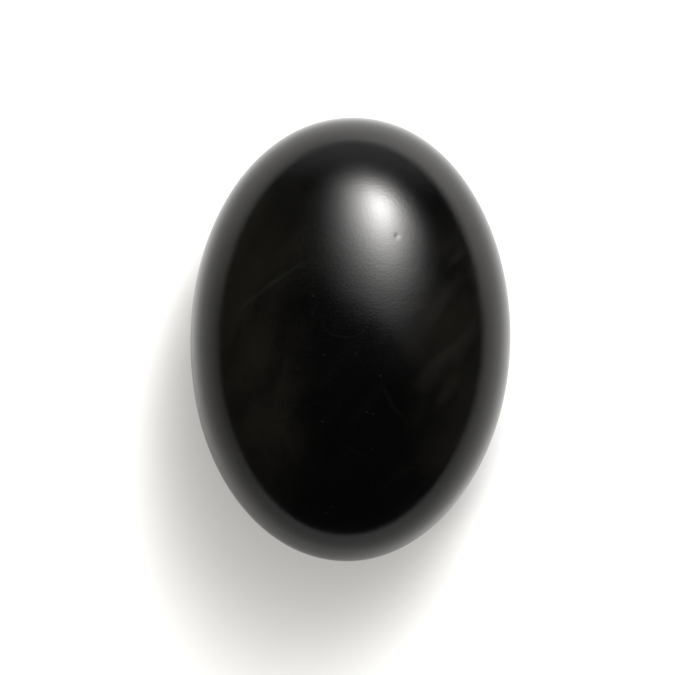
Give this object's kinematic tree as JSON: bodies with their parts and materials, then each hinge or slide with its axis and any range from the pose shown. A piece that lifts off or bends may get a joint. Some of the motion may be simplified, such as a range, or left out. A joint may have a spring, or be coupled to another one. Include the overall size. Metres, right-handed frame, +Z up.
{
  "type": "basalt massage stone",
  "caption": "Smooth oval massage stone of polished near-black basalt, domed above and below, with a small flat to rest on.",
  "frame": {"origin": "middle of the small flat on the underside that the stone rests on, under the middle of its outline", "axes": "+Z up through the crown, +Y along the stone's length, +X across its width"},
  "size_m": [0.0577, 0.08, 0.0424],
  "materials": {
    "basalt": "polished"
  },
  "bodies": {
    "root": {"stone": "basalt"}
  },
  "joints": []
}
